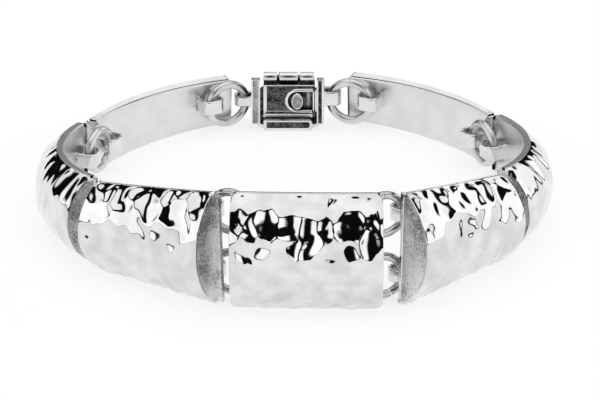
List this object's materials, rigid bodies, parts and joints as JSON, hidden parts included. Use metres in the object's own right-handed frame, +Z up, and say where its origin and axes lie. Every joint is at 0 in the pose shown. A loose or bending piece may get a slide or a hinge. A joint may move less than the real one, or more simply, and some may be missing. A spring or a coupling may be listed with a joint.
{
  "type": "link bracelet",
  "caption": "Closed wrist bracelet of tapering domed links with hammered fronts, joined by jump rings through soldered straps and shut by a box clasp with a hinged safety cover.",
  "frame": {"origin": "middle of the bracelet's footprint, on the surface that it lies on", "axes": "+Z up through the wrist hollow, +X along the centre link from its left end to its right end as seen from the front, +Y from the centre link to the clasp"},
  "size_m": [0.0672, 0.0656, 0.0158],
  "materials": {
    "polished_silver": "sterling silver, hammered and mirror polished fronts, satin backs, sanded matte end plates",
    "ring_silver": "sterling silver wire, polished",
    "oxidised_silver": "sterling silver, darkened in the recesses, edges polished bright"
  },
  "bodies": {
    "bracelet": {"link_centre": "polished_silver", "link_front_left": "polished_silver", "link_front_right": "polished_silver", "link_side_left": "polished_silver", "link_side_right": "polished_silver", "link_back_left": "polished_silver", "link_back_right": "polished_silver", "ring_front_left_upper": "ring_silver", "ring_front_left_lower": "ring_silver", "ring_front_right_upper": "ring_silver", "ring_front_right_lower": "ring_silver", "ring_side_left": "ring_silver", "ring_side_right": "ring_silver", "ring_back_left": "ring_silver", "ring_back_right": "ring_silver", "ring_clasp_left": "ring_silver", "ring_clasp_right": "ring_silver", "clasp_box": "oxidised_silver", "clasp_tongue": "oxidised_silver"},
    "cover": {"safety_cover": "oxidised_silver"}
  },
  "joints": [
    {"name": "cover_hinge", "type": "hinge", "parent": "bracelet", "child": "cover", "pos_m": [-0.00084, 0.02838, 0.00715], "axis": [1, 0, 0], "range_deg": [0, 110]}
  ]
}
